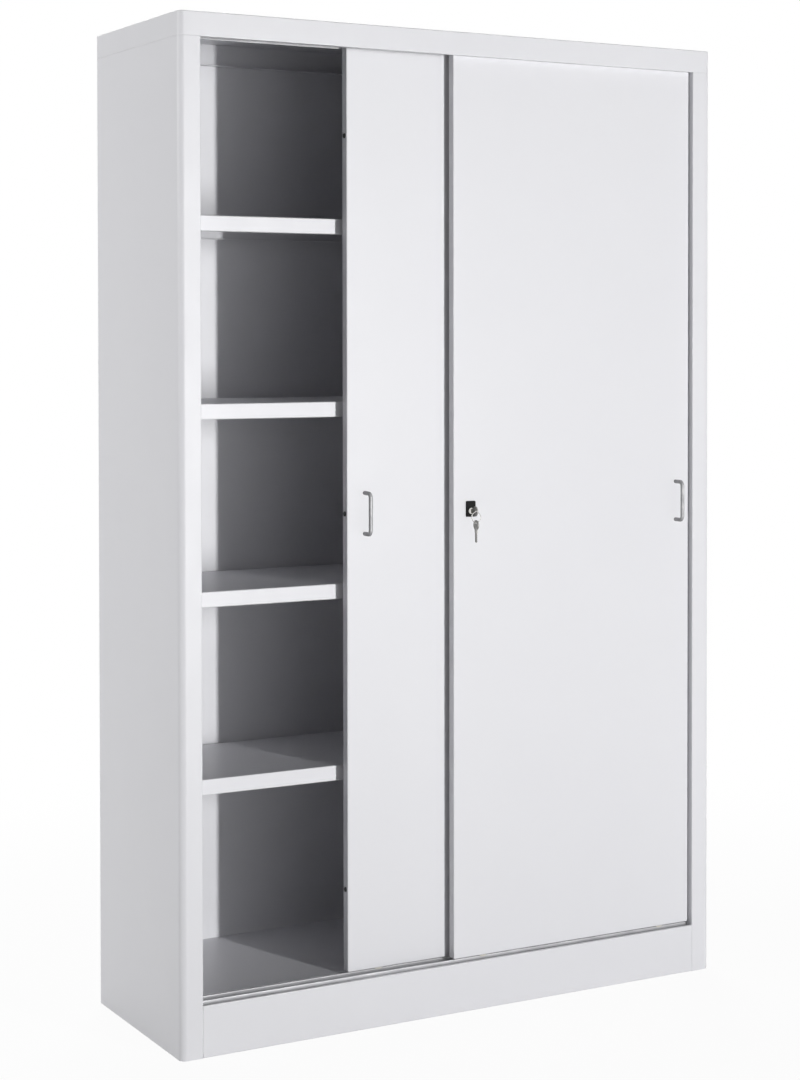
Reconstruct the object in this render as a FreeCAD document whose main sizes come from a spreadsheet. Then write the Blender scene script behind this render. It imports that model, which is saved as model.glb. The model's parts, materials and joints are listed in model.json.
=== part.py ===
"""Metal storage cabinet with two bypass sliding doors and four adjustable shelves.

The cabinet is folded sheet steel. Its frame is +Z up, +X to the right and +Y to the back, with
the origin on the floor under the middle of the carcass. The left door runs on the rear rail and
stands partly open; the right door runs on the front rail and is shut.
"""
import FreeCAD
import Part
import math
import operator
import os
from types import SimpleNamespace

import Sketcher
from FreeCAD import Placement, Rotation, Vector

# Driving sizes in millimetres: name, value.
SIZES = (
    # Carcass
    ("overall_width", 1200),
    ("overall_depth", 430),
    ("overall_height", 1950),
    ("gauge", 1),
    ("bend_radius", 1),
    ("corner_radius", 12),
    ("stile_width", 44),
    ("jamb_depth", 66),
    ("pillar_weld_gap", 2),
    ("rear_flange", 20),
    ("seam_radius", 0.8),
    # Top cap
    ("cap_height", 46),
    ("cap_edge_radius", 2),
    ("header_lip", 10),
    ("cap_rear_lip", 20),
    # Plinth, deck and back
    ("plinth_height", 98.5),
    ("plinth_foot", 20),
    ("nose_width", 7),
    ("ledge_drop", 6),
    ("deck_flange", 30),
    ("back_flange", 15),
    ("rivet_hole", 4),
    ("rivet_head", 7),
    ("rivet_head_height", 1),
    ("rivet_formed", 5.2),
    ("rivet_formed_height", 2),
    ("rivet_first", 140),
    ("rivet_pitch", 270),
    # Tracks
    ("rail_setback", 21),
    ("rail_pitch", 27),
    ("rail_base", 1.5),
    ("rail_height", 9.7),
    ("rib_width", 4),
    ("rib_round", 1.6),
    ("track_end_gap", 1),
    ("rail_side_gap", 0.2),
    ("fin_thickness", 1.5),
    ("fin_lift", 3),
    ("top_track_base", 1.5),
    # Shelf uprights
    ("upright_inset", 20),
    ("upright_flange", 8),
    ("upright_web", 25),
    ("upright_depth", 12),
    ("upright_gauge", 1.5),
    ("slot_first", 48.5),
    ("slot_pitch", 51),
    ("slot_length", 12),
    ("slot_height", 3),
    # Shelves and clips
    ("shelf_setback", 72),
    ("shelf_rear_gap", 3),
    ("shelf_end_gap", 1),
    ("shelf_lip", 30),
    ("shelf_return", 12),
    ("clip_gauge", 1.5),
    ("clip_width", 20),
    ("clip_tab", 14),
    ("clip_leg", 18),
    ("clip_tongue", 6),
    ("tongue_width", 10),
    # Doors
    ("door_lap", 29.6),
    ("door_thickness", 18),
    ("door_floor_gap", 6),
    ("door_top_lap", 10),
    ("door_return", 15),
    ("door_edge_radius", 2),
    ("door_corner_radius", 3.5),
    ("door_opening", 316.9),
    ("stop_gap", 0.3),
    ("stiffener_flange", 15),
    ("stiffener_web", 40),
    # Rollers and guides
    ("wheel_inset", 70),
    ("wheel_radius", 8),
    ("wheel_flange", 3),
    ("wheel_width", 8),
    ("groove_floor", 5),
    ("groove_mouth", 6.4),
    ("running_gap", 0.3),
    ("wheel_side_gap", 0.5),
    ("axle_radius", 2.5),
    ("axle_head_radius", 3.6),
    ("axle_head", 1),
    ("fit_gap", 0.1),
    ("carriage_gauge", 1.5),
    ("carriage_length", 40),
    ("carriage_headroom", 2),
    ("wheel_cutout", 28),
    ("cutout_gap", 0.4),
    ("guide_length", 40),
    ("guide_height", 12),
    ("guide_round", 4),
    ("guide_gap", 0.5),
    ("guide_neck_length", 26),
    ("guide_neck_width", 10),
    ("guide_neck_depth", 4),
    # Bumpers
    ("bumper_radius", 5),
    ("bumper_height", 2),
    ("bumper_round", 1.2),
    ("bumper_stem_radius", 2.4),
    ("bumper_stem", 4),
    ("bumper_pitch", 736),
    # Handles
    ("handle_height", 1002),
    ("left_handle_inset", 38.4),
    ("right_handle_inset", 33),
    ("handle_centres", 80),
    ("handle_bar", 8),
    ("handle_reach", 30),
    ("handle_bend", 9),
    ("screw_radius", 1.6),
    ("screw_depth", 10),
    ("screw_head_radius", 4),
    ("screw_head", 2.4),
    # Lock
    ("lock_height", 1000),
    ("lock_inset", 38.5),
    ("plate_width", 20.5),
    ("plate_height", 31.5),
    ("plate_rise", 4),
    ("plate_thickness", 4),
    ("plate_round", 2),
    ("barrel_radius", 9),
    ("nut_radius", 14),
    ("nut_height", 3),
    ("plug_radius", 6),
    ("plug_proud", 0.5),
    ("boss_radius", 3.5),
    ("cam_tail", 8),
    ("cam_reach", 26),
    ("cam_width", 9),
    ("cam_round", 4),
    ("cam_thickness", 2),
    ("cam_gap", 0.5),
    ("cam_screw_radius", 4.5),
    ("cam_screw_head", 1.5),
    ("cam_screw_depth", 5),
    ("cam_screw_relief", 1),
    ("keeper_gauge", 1.5),
    ("keeper_reach", 6),
    ("keeper_leg", 16),
    ("keeper_hook", 10),
    ("keeper_height", 22),
    ("keeper_drop", 14),
    # Keys and ring
    ("key_thickness", 2),
    ("bow_radius", 10),
    ("bow_neck", 5),
    ("key_eye_radius", 2.5),
    ("key_eye_offset", 4),
    ("shoulder_width", 9),
    ("blade_width", 6.4),
    ("blade_length", 20),
    ("bit_depth", 1.6),
    ("ring_radius", 10),
    ("ring_wire_radius", 0.8),
    ("loose_gap", 0.15),
)

# Counts that follow no length.
SHELF_COUNT = 4
SLOTS_PER_SHELF = 7
SLOTS_BELOW_FIRST_SHELF = 7
RIVETS_PER_SIDE = 7
BUMPERS_PER_DOOR = 3
BITS_PER_KEY = 4
LEFT = -1
RIGHT = 1

# Origin planes by the view that a sketch on them is drawn in.
PLAN = "XY_Plane"
FRONT = "XZ_Plane"
SIDE = "YZ_Plane"


class Size:
    """A length with its number and the sheet expression that gives it."""

    def __init__(self, value, text):
        self.value = value
        self.text = text

    @staticmethod
    def of(thing):
        """Take a number as a size without a sheet cell."""
        if isinstance(thing, Size):
            return thing
        return Size(thing, f"({thing:.12g})")

    def join(self, sign, act, other, swap=False):
        """Combine two sizes by one arithmetic sign."""
        first, second = (Size.of(other), self) if swap else (self, Size.of(other))
        return Size(act(first.value, second.value), f"({first.text} {sign} {second.text})")

    def __add__(self, other):
        return self.join("+", operator.add, other)

    def __radd__(self, other):
        return self.join("+", operator.add, other, swap=True)

    def __sub__(self, other):
        return self.join("-", operator.sub, other)

    def __rsub__(self, other):
        return self.join("-", operator.sub, other, swap=True)

    def __mul__(self, other):
        return self.join("*", operator.mul, other)

    def __rmul__(self, other):
        return self.join("*", operator.mul, other, swap=True)

    def __truediv__(self, other):
        return self.join("/", operator.truediv, other)

    def __neg__(self):
        return 0 - self

    def floor(self):
        """Round down to a whole number."""
        return Size(math.floor(self.value), f"floor({self.text})")


def make_sheet(doc):
    """Write the driving sizes to the sheet and give them back by name."""
    sheet = doc.addObject("Spreadsheet::Sheet", "dims")
    sizes = {}
    for row, (name, value) in enumerate(SIZES, start=1):
        sheet.set(f"A{row}", name)
        sheet.set(f"B{row}", str(value))
        sheet.setAlias(f"B{row}", name)
        sizes[name] = Size(value, f"dims.{name}")
    doc.recompute()
    return SimpleNamespace(**sizes)


doc = FreeCAD.newDocument("sliding_door_cabinet")
d = make_sheet(doc)

# Places that several pieces share.
left_wall = -d.overall_width / 2
front_plane = -d.overall_depth / 2
body_top = d.overall_height - d.cap_height
inner_back = d.overall_depth - 2 * d.gauge
opening_width = d.overall_width - 2 * d.stile_width
ledge_height = d.plinth_height - d.ledge_drop
ledge_back = d.jamb_depth - d.gauge
rail_top = ledge_height + d.rail_height
door_bottom = d.plinth_height + d.door_floor_gap
door_top = body_top + d.door_top_lap
door_height = door_top - door_bottom
upright_width = 2 * d.upright_flange + d.upright_web
upright_height = body_top - d.gauge - d.plinth_height
upright_face = d.gauge + d.upright_depth + d.upright_gauge
shelf_back = inner_back - d.back_flange - d.shelf_rear_gap
front_upright = d.shelf_setback + d.upright_inset
rear_upright = shelf_back - d.upright_inset - upright_width
closed_gap = d.stile_width + d.bumper_height + d.stop_gap
door_width = (d.overall_width - 2 * closed_gap + d.door_lap) / 2
carriage_half = d.wheel_width / 2 + d.wheel_side_gap + d.carriage_gauge
axle_height = rail_top + d.wheel_radius + d.running_gap - door_bottom - d.gauge
plug_face = d.plate_thickness + d.plug_proud
bow_centre = d.bow_neck + d.bow_radius
key_eye = bow_centre + d.key_eye_offset


def door_edge(hand):
    """X of a door's left edge, left door opened and right door shut."""
    if hand == LEFT:
        return left_wall + closed_gap + d.door_opening
    return -left_wall - closed_gap - door_width


def door_face(hand):
    """Y of a door's front face: right door on the front rail, left door on the rear one."""
    face = front_plane + d.rail_setback - d.door_thickness / 2
    return face + d.rail_pitch if hand == LEFT else face


def side_name(hand):
    """Name of a side, for labels."""
    return "left" if hand == LEFT else "right"


def shelf_top(number):
    """Z of a shelf's upper face: it rests on clips hooked into the slots of the uprights."""
    slot = SLOTS_BELOW_FIRST_SHELF + (number - 1) * SLOTS_PER_SHELF
    return d.plinth_height + d.slot_first + slot * d.slot_pitch + d.clip_gauge + d.gauge


def bind(thing, name, size):
    """Tie one property of an object to the sheet."""
    thing.setExpression(name, Size.of(size).text)


def place(thing, x, y, z):
    """Tie an object's position to the sheet."""
    for axis, size in zip("xyz", (x, y, z)):
        bind(thing, f"Placement.Base.{axis}", size)


def new_body(label, x, y, z):
    """Start a sub-part with its own frame; it may hold several solids of one kind."""
    body = doc.addObject("PartDesign::Body", label)
    body.Label = label
    body.AllowCompound = True
    place(body, x, y, z)
    return body


def origin_item(body, role):
    """Find an origin plane or axis of a body by its role."""
    return next(item for item in body.Origin.OriginFeatures if item.Role == role)


def new_sketch(body, view, shift=0):
    """Add a sketch on an origin plane, moved along the plane's normal."""
    sketch = body.newObject("Sketcher::SketchObject", "Sketch")
    sketch.AttachmentSupport = [(origin_item(body, view), "")]
    sketch.MapMode = "FlatFace"
    bind(sketch, "AttachmentOffset.Base.z", shift)
    return sketch


def sign(number):
    """Sign of a number, with tiny ones as zero."""
    return 0 if abs(number) < 1e-9 else math.copysign(1, number)


def heading(start, end):
    """Direction of an edge, exact for edges along the axes."""
    return sign((end[0] - start[0]).value), sign((end[1] - start[1]).value)


def as_corner(corner):
    """Read a corner as x, y and rounding radius, where zero means sharp."""
    x, y, *rest = corner
    return Size.of(x), Size.of(y), Size.of(rest[0] if rest else 0)


def turn(before, after):
    """Cross product of two headings: positive where the outline turns left."""
    return before[0] * after[1] - before[1] * after[0]


class Drawing:
    """Geometry and constraints collected for one sketch, then written to it at once."""

    def __init__(self, sketch):
        self.sketch = sketch
        self.shapes = []
        self.constraints = []
        self.bindings = []

    def add_line(self, start, end):
        """Add a straight edge and return its number."""
        self.shapes.append(Part.LineSegment(flat(start), flat(end)))
        return len(self.shapes) - 1

    def add_arc(self, start, end, centre, radius):
        """Add an arc that runs anticlockwise from start to end and return its number."""
        first, last = (math.atan2((p[1] - centre[1]).value, (p[0] - centre[0]).value)
                       for p in (start, end))
        if last < first:
            last += 2 * math.pi
        circle = Part.Circle(flat(centre), Vector(0, 0, 1), radius.value)
        self.shapes.append(Part.ArcOfCircle(circle, first, last))
        return len(self.shapes) - 1

    def fix(self, kind, *where, size):
        """Add a driven constraint."""
        self.bindings.append((len(self.constraints), size))
        self.constraints.append(Sketcher.Constraint(kind, *where, size.value))

    def fix_point(self, shape, end, point):
        """Hold one end of an edge at a point."""
        self.fix("DistanceX", -1, 1, shape, end, size=point[0])
        self.fix("DistanceY", -1, 1, shape, end, size=point[1])

    def meet(self, shape, end, other, other_end):
        """Join the ends of two edges."""
        self.constraints.append(Sketcher.Constraint("Coincident", shape, end, other, other_end))

    def write(self):
        """Put all of it into the sketch and tie each size to the sheet."""
        self.sketch.addGeometry(self.shapes, False)
        self.sketch.addConstraint(self.constraints)
        for number, size in self.bindings:
            bind(self.sketch, f"Constraints[{number}]", size)


def flat(point):
    """Vector of a sketch point."""
    return Vector(point[0].value, point[1].value, 0)


def draw_outline(drawing, corners, closed=True):
    """Draw straight edges through the corners, with an arc at each corner that has a radius.

    Only corners between edges along the axes may have a radius.
    """
    corners = [as_corner(corner) for corner in corners]
    count = len(corners)
    arrive, leave, turns = [], [], []
    for index, (x, y, radius) in enumerate(corners):
        before = heading(corners[index - 1], corners[index])
        after = heading(corners[index], corners[(index + 1) % count])
        turns.append((before, turn(before, after)))
        arrive.append((x - before[0] * radius, y - before[1] * radius) if radius.value else (x, y))
        leave.append((x + after[0] * radius, y + after[1] * radius) if radius.value else (x, y))
    edges = count if closed else count - 1
    lines = []
    for index in range(edges):
        following = (index + 1) % count
        lines.append(drawing.add_line(leave[index], arrive[following]))
        drawing.fix_point(lines[-1], 1, leave[index])
    for index in range(edges):
        corner = (index + 1) % count
        last = not closed and index == edges - 1
        radius = corners[corner][2]
        if last or radius.value:
            drawing.fix_point(lines[index], 2, arrive[corner])
        if last:
            continue
        if not radius.value:
            drawing.meet(lines[index], 2, lines[corner], 1)
            continue
        before, bend = turns[corner]
        centre = (arrive[corner][0] - before[1] * sign(bend) * radius,
                  arrive[corner][1] + before[0] * sign(bend) * radius)
        ends = (arrive[corner], leave[corner])
        first, last_end = ends if bend > 0 else ends[::-1]
        arc = drawing.add_arc(first, last_end, centre, radius)
        drawing.meet(lines[index], 2, arc, 1 if bend > 0 else 2)
        drawing.meet(lines[corner], 1, arc, 2 if bend > 0 else 1)
        drawing.fix("Radius", arc, size=radius)


def draw_circle(drawing, x, y, radius):
    """Draw a circle."""
    centre = (Size.of(x), Size.of(y))
    radius = Size.of(radius)
    drawing.shapes.append(Part.Circle(flat(centre), Vector(0, 0, 1), radius.value))
    number = len(drawing.shapes) - 1
    drawing.fix_point(number, 3, centre)
    drawing.fix("Radius", number, size=radius)


def rectangle(x_low, x_high, y_low, y_high, radius=0):
    """Corners of a rectangle, all with one radius."""
    return [(x_low, y_low, radius), (x_high, y_low, radius),
            (x_high, y_high, radius), (x_low, y_high, radius)]


def fold(path, gauge, bend, side):
    """Outline of a sheet folded square along a path.

    The path follows one face of the sheet, the sheet lies on its left (side 1) or right (side -1),
    and a corner may carry its own inner radius in place of the bend radius.
    """
    points = [as_corner(corner) for corner in path]
    face, offset = [], []
    for index, (x, y, own) in enumerate(points):
        ends = [heading(points[i], points[i + 1]) for i in (index - 1, index)
                if 0 <= i < len(points) - 1]
        shift_x = sum(-end[1] for end in ends) * side
        shift_y = sum(end[0] for end in ends) * side
        inner = own if own.value else bend
        face_radius, offset_radius = Size.of(0), Size.of(0)
        if len(ends) == 2:
            outer_is_path = turn(*ends) * side > 0
            face_radius = inner + gauge if outer_is_path else inner
            offset_radius = inner if outer_is_path else inner + gauge
        face.append((x, y, face_radius))
        offset.append((x + shift_x * gauge, y + shift_y * gauge, offset_radius))
    return face + offset[::-1]


def sketch_outline(body, view, *outlines, shift=0, closed=True):
    """Sketch one or more outlines on an origin plane."""
    sketch = new_sketch(body, view, shift)
    drawing = Drawing(sketch)
    for corners in outlines:
        draw_outline(drawing, corners, closed)
    drawing.write()
    return sketch


def sketch_circles(body, view, *circles, shift=0):
    """Sketch circles, each given as x, y and radius."""
    sketch = new_sketch(body, view, shift)
    drawing = Drawing(sketch)
    for circle in circles:
        draw_circle(drawing, *circle)
    drawing.write()
    return sketch


def extrude(body, kind, sketch, length, reverse=False, both=False):
    """Pad or pocket a sketch."""
    feature = body.newObject(f"PartDesign::{kind}", kind)
    feature.Profile = sketch
    feature.Reversed = reverse
    feature.SideType = "Symmetric" if both else "One side"
    bind(feature, "Length", length)
    doc.recompute()
    return feature


def pad(body, sketch, length, reverse=False, both=False):
    """Add a sketch's area over a length."""
    return extrude(body, "Pad", sketch, length, reverse, both)


def cut(body, sketch, length, reverse=False, both=False):
    """Remove a sketch's area over a length, and check that it removed something."""
    before = body.Shape.Volume
    feature = extrude(body, "Pocket", sketch, length, reverse, both)
    if not body.Shape.Volume < before - 1e-6:
        raise RuntimeError(f"a pocket of {body.Label} cuts nothing")
    return feature


def spin(body, corners, view, axis):
    """Revolve an outline about an origin axis."""
    feature = body.newObject("PartDesign::Revolution", "Revolution")
    feature.Profile = sketch_outline(body, view, corners)
    feature.ReferenceAxis = (origin_item(body, axis), [""])
    doc.recompute()
    return feature


def repeat(body, features, axis, pitch, count, reverse=False):
    """Repeat features along an origin axis."""
    pattern = body.newObject("PartDesign::LinearPattern", "LinearPattern")
    pattern.Originals = features
    pattern.Direction = (origin_item(body, axis), [""])
    pattern.Reversed = reverse
    bind(pattern, "Length", pitch * (count - 1))
    bind(pattern, "Occurrences", count)
    body.Tip = pattern
    doc.recompute()
    return pattern


def round_edges(body, test, radius):
    """Fillet the edges of the body so far whose bounding box passes a test."""
    base = body.Tip
    names = [f"Edge{number}" for number, edge in enumerate(base.Shape.Edges, start=1)
             if test(edge.BoundBox)]
    if not names:
        raise RuntimeError(f"no edge of {body.Label} to round")
    feature = body.newObject("PartDesign::Fillet", "Fillet")
    feature.Base = (base, names)
    bind(feature, "Radius", radius)
    doc.recompute()
    return feature


def hollow(body, test, gauge):
    """Shell the body so far to a sheet's gauge, open at the face that passes a test."""
    base = body.Tip
    names = [f"Face{number}" for number, face in enumerate(base.Shape.Faces, start=1)
             if test(face.BoundBox)]
    feature = body.newObject("PartDesign::Thickness", "Thickness")
    feature.Base = (base, names)
    feature.Reversed = True
    bind(feature, "Value", gauge)
    doc.recompute()
    return feature


def near(first, second):
    """Compare two coordinates."""
    return abs(first - Size.of(second).value) < 1e-6


def mirror_to_right(source, label):
    """Make the right-hand twin of a left-hand piece."""
    twin = doc.addObject("Part::Mirroring", label)
    twin.Label = label
    twin.Source = source
    twin.Normal = Vector(1, 0, 0)
    return twin


def rivet_holes(body, x, y):
    """Drill the row of rivet holes of the rear flange, from foot to top."""
    sketch = sketch_circles(body, FRONT, (x, d.rivet_first, d.rivet_hole / 2), shift=-y)
    hole = cut(body, sketch, 4 * d.gauge, both=True)
    repeat(body, [hole], "Z_Axis", d.rivet_pitch, RIVETS_PER_SIDE)


def build_side_panels():
    """Folded sides: wall, rounded corner, stile, jamb, pillar back and end flanges."""
    body = new_body("left_side_panel", left_wall, front_plane, 0)
    depth, stile = d.overall_depth, d.stile_width
    path = [
        (d.rear_flange, depth),
        (0, depth),
        (0, 0, d.corner_radius - d.gauge),
        (stile, 0),
        (stile, d.jamb_depth),
        (d.gauge + d.pillar_weld_gap, d.jamb_depth),
    ]
    profile = fold(path, d.gauge, d.bend_radius, 1)
    pad(body, sketch_outline(body, PLAN, profile), body_top)
    flange = rectangle(0, stile, 0, inner_back)
    flange[0] = (0, 0, d.corner_radius)
    flange[1] = (stile, 0, d.bend_radius + d.gauge)
    pad(body, sketch_outline(body, PLAN, flange), d.gauge)
    pad(body, sketch_outline(body, PLAN, flange, shift=body_top - d.gauge), d.gauge)
    round_edges(body, lambda box: near(box.ZMin, body_top) and near(box.XMax, 0), d.seam_radius)
    rivet_holes(body, d.rear_flange / 2, depth)
    mirror_to_right(body, "right_side_panel")


def build_top_cap():
    """Folded tray over the sides, with a header and returns that sit on the side flanges."""
    body = new_body("top_cap", left_wall, front_plane, body_top)
    width, depth, height = d.overall_width, d.overall_depth, d.cap_height
    outline = rectangle(0, width, 0, depth, d.bend_radius + d.gauge)
    outline[0] = (0, 0, d.corner_radius)
    outline[1] = (width, 0, d.corner_radius)
    pad(body, sketch_outline(body, PLAN, outline), height)
    round_edges(body, lambda box: near(box.ZMin, height), d.cap_edge_radius)
    hollow(body, lambda box: near(box.ZMax, 0), d.gauge)
    mouth = rectangle(d.stile_width, width - d.stile_width, d.header_lip, depth - d.cap_rear_lip)
    pad(body, sketch_outline(body, PLAN, outline, mouth), d.gauge)
    round_edges(body, lambda box: near(box.ZMax, 0) and near(box.XMax, 0), d.seam_radius)


def build_plinth():
    """Kick plate between the stiles: floor flange, front, nose, rail ledge and upstand."""
    body = new_body("plinth_panel", left_wall + d.stile_width, front_plane, 0)
    path = [
        (d.plinth_foot, 0),
        (0, 0),
        (0, d.plinth_height),
        (d.nose_width, d.plinth_height),
        (d.nose_width, ledge_height),
        (ledge_back, ledge_height),
        (ledge_back, d.plinth_height),
    ]
    profile = fold(path, d.gauge, d.bend_radius, -1)
    pad(body, sketch_outline(body, SIDE, profile), opening_width)


def build_deck():
    """Bottom panel: an upturned tray behind the rail ledge."""
    body = new_body("bottom_panel", left_wall + d.gauge, front_plane + d.jamb_depth,
                    d.plinth_height - d.deck_flange)
    width = d.overall_width - 2 * d.gauge
    depth = inner_back - d.jamb_depth
    pad(body, sketch_outline(body, PLAN, rectangle(0, width, 0, depth)), d.deck_flange)
    hollow(body, lambda box: near(box.ZMax, 0), d.gauge)


def build_back():
    """Two back sheets with forward flanges that meet at the centre, riveted to the sides."""
    edge = d.gauge + d.bend_radius
    body = new_body("back_panel_left", left_wall + edge, front_plane + d.overall_depth - d.gauge, 0)
    width = d.overall_width / 2 - edge
    strip = rectangle(0, width, -d.gauge, 0)
    pad(body, sketch_outline(body, PLAN, strip), d.plinth_height)
    path = [(0, 0), (width, 0), (width, -d.back_flange)]
    profile = fold(path, d.gauge, d.bend_radius, -1)
    pad(body, sketch_outline(body, PLAN, profile, shift=d.plinth_height), body_top - d.plinth_height)
    rivet_holes(body, d.rear_flange / 2 - edge, 0)
    mirror_to_right(body, "back_panel_right")


def build_rivets():
    """Blind rivets of both rear flanges: low head outside, shank and formed head inside."""
    body = new_body("back_rivets", left_wall + d.rear_flange / 2, front_plane + d.overall_depth,
                    d.rivet_first)
    shank = d.rivet_hole / 2 - d.fit_gap
    grip = 2 * d.gauge
    tail = grip + d.rivet_formed_height
    corners = [
        (-tail, 0),
        (d.rivet_head_height, 0),
        (d.rivet_head_height, d.rivet_head / 4),
        (0, d.rivet_head / 2),
        (0, shank),
        (-grip, shank),
        (-grip, d.rivet_formed / 2),
        (-tail, d.rivet_formed / 2),
    ]
    head = spin(body, corners, SIDE, "Y_Axis")
    pattern = repeat(body, [head], "Z_Axis", d.rivet_pitch, RIVETS_PER_SIDE)
    pattern.Direction2 = (origin_item(body, "X_Axis"), [""])
    bind(pattern, "Length2", d.overall_width - d.rear_flange)
    pattern.Occurrences2 = 2
    doc.recompute()


def build_tracks():
    """Bottom rail with two ribs for the wheels and top channel with three fins for the guides."""
    length = opening_width - 2 * d.track_end_gap
    start = left_wall + d.stile_width + d.track_end_gap
    rail = new_body("bottom_track", start, front_plane, ledge_height)
    low = d.nose_width + d.bend_radius + d.rail_side_gap
    high = ledge_back - d.bend_radius - d.rail_side_gap
    corners = [(low, 0), (high, 0), (high, d.rail_base)]
    for number in (1, 0):
        centre = d.rail_setback + number * d.rail_pitch
        corners += [
            (centre + d.rib_width / 2, d.rail_base),
            (centre + d.rib_width / 2, d.rail_height, d.rib_round),
            (centre - d.rib_width / 2, d.rail_height, d.rib_round),
            (centre - d.rib_width / 2, d.rail_base),
        ]
    corners.append((low, d.rail_base))
    pad(rail, sketch_outline(rail, SIDE, corners), length)

    channel = new_body("top_track", start, front_plane, d.overall_height - d.gauge)
    drop = d.gauge + d.fin_lift - d.cap_height
    centres = [d.rail_setback + (number - 0.5) * d.rail_pitch for number in range(3)]
    half = d.fin_thickness / 2
    corners = []
    for number, centre in enumerate(centres):
        corners += [(centre - half, drop), (centre + half, drop)]
        if number < 2:
            corners += [(centre + half, -d.top_track_base),
                        (centres[number + 1] - half, -d.top_track_base)]
    corners += [(centres[2] + half, 0), (centres[0] - half, 0)]
    pad(channel, sketch_outline(channel, SIDE, corners), length)


def build_uprights():
    """Slotted hat channels on the side walls that carry the shelf clips."""
    for name, start in (("front", front_upright), ("rear", rear_upright)):
        body = new_body(f"{name}_left_upright", left_wall + d.gauge, front_plane + start,
                        d.plinth_height)
        flange, web = d.upright_flange, d.upright_web
        path = [
            (0, 0),
            (0, flange),
            (d.upright_depth, flange),
            (d.upright_depth, flange + web),
            (0, flange + web),
            (0, upright_width),
        ]
        profile = fold(path, d.upright_gauge, d.bend_radius, -1)
        pad(body, sketch_outline(body, PLAN, profile), upright_height)
        middle = flange + web / 2
        slot = rectangle(middle - d.slot_length / 2, middle + d.slot_length / 2,
                         d.slot_first, d.slot_first + d.slot_height)
        sketch = sketch_outline(body, SIDE, slot, shift=d.upright_depth)
        hole = cut(body, sketch, 4 * d.upright_gauge, both=True)
        steps = ((upright_height - d.slot_first - 2 * d.slot_height) / d.slot_pitch).floor()
        repeat(body, [hole], "Z_Axis", d.slot_pitch, steps + 1)
        mirror_to_right(body, f"{name}_right_upright")


def build_shelves():
    """Folded shelves with a lip and a return at front and back, each on four clips."""
    end = upright_face + d.shelf_end_gap
    depth = shelf_back - d.shelf_setback
    web_middle = d.upright_flange + d.upright_web / 2
    for number in range(1, SHELF_COUNT + 1):
        body = new_body(f"shelf_{number}", left_wall + end, front_plane + d.shelf_setback,
                        shelf_top(number))
        path = [
            (d.shelf_return, -d.shelf_lip),
            (0, -d.shelf_lip),
            (0, 0),
            (depth, 0),
            (depth, -d.shelf_lip),
            (depth - d.shelf_return, -d.shelf_lip),
        ]
        profile = fold(path, d.gauge, d.bend_radius, -1)
        pad(body, sketch_outline(body, SIDE, profile), d.overall_width - 2 * end)

        clips = new_body(f"shelf_{number}_clips", 0, front_plane + front_upright + web_middle,
                         shelf_top(number) - d.gauge)
        root = left_wall + upright_face
        angle = [(root + d.clip_tab, 0), (root, 0), (root, -d.clip_leg)]
        profile = fold(angle, d.clip_gauge, d.bend_radius, 1)
        bracket = pad(clips, sketch_outline(clips, FRONT, profile), d.clip_width, both=True)
        tongue = rectangle(root - d.clip_tongue, root + d.clip_tab / 2, -d.clip_gauge, 0)
        hook = pad(clips, sketch_outline(clips, FRONT, tongue), d.tongue_width, both=True)
        copies = clips.newObject("PartDesign::MultiTransform", "MultiTransform")
        twin = clips.newObject("PartDesign::Mirrored", "Mirrored")
        twin.MirrorPlane = (origin_item(clips, SIDE), [""])
        row = clips.newObject("PartDesign::LinearPattern", "LinearPattern")
        row.Direction = (origin_item(clips, "Y_Axis"), [""])
        bind(row, "Length", rear_upright - front_upright)
        row.Occurrences = 2
        copies.Originals = [bracket, hook]
        copies.Transformations = [twin, row]
        clips.Tip = copies
        doc.recompute()


def build_door_panel(hand):
    """Folded door tray with returns, and its cut-outs for wheels, guides and fittings."""
    name = side_name(hand)
    body = new_body(f"{name}_door_panel", door_edge(hand), door_face(hand), door_bottom)
    width, thickness = door_width, d.door_thickness
    rim = rectangle(0, width, 0, door_height, d.door_corner_radius)
    pad(body, sketch_outline(body, FRONT, rim), thickness, reverse=True)
    round_edges(body, lambda box: near(box.YMax, 0), d.door_edge_radius)
    hollow(body, lambda box: near(box.YMin, thickness), d.gauge)
    inset = d.door_return
    frame = rectangle(inset, width - inset, inset, door_height - inset)
    pad(body, sketch_outline(body, FRONT, rim, frame, shift=-thickness), d.gauge)

    outer = 0 if hand == LEFT else width
    handle_x = d.left_handle_inset if hand == LEFT else width - d.right_handle_inset
    handle_z = d.handle_height - door_bottom
    spread = d.handle_centres / 2
    holes = [(handle_x, handle_z + side * spread, d.screw_radius + d.fit_gap) for side in (-1, 1)]
    if hand == RIGHT:
        holes.append((d.lock_inset, d.lock_height - door_bottom, d.barrel_radius + d.fit_gap))
    cut(body, sketch_circles(body, FRONT, *holes), 4 * d.gauge, both=True)

    middle = thickness / 2
    half_slot = d.wheel_cutout / 2
    half_width = d.wheel_width / 2 + d.cutout_gap
    wheels = [d.wheel_inset, width - d.wheel_inset]
    slots = [rectangle(x - half_slot, x + half_slot, middle - half_width, middle + half_width)
             for x in wheels]
    cut(body, sketch_outline(body, PLAN, *slots), 4 * d.gauge, both=True)
    half_neck = d.guide_neck_length / 2 + d.fit_gap
    half_neck_width = d.guide_neck_width / 2 + d.fit_gap
    necks = [rectangle(x - half_neck, x + half_neck, middle - half_neck_width,
                       middle + half_neck_width) for x in wheels]
    cut(body, sketch_outline(body, PLAN, *necks, shift=door_height), 4 * d.gauge, both=True)

    stems = [(middle, row * d.bumper_pitch + handle_z, d.bumper_stem_radius + d.fit_gap)
             for row in range(-1, BUMPERS_PER_DOOR - 1)]
    cut(body, sketch_circles(body, SIDE, *stems, shift=outer), 4 * d.gauge, both=True)
    return handle_x


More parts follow.
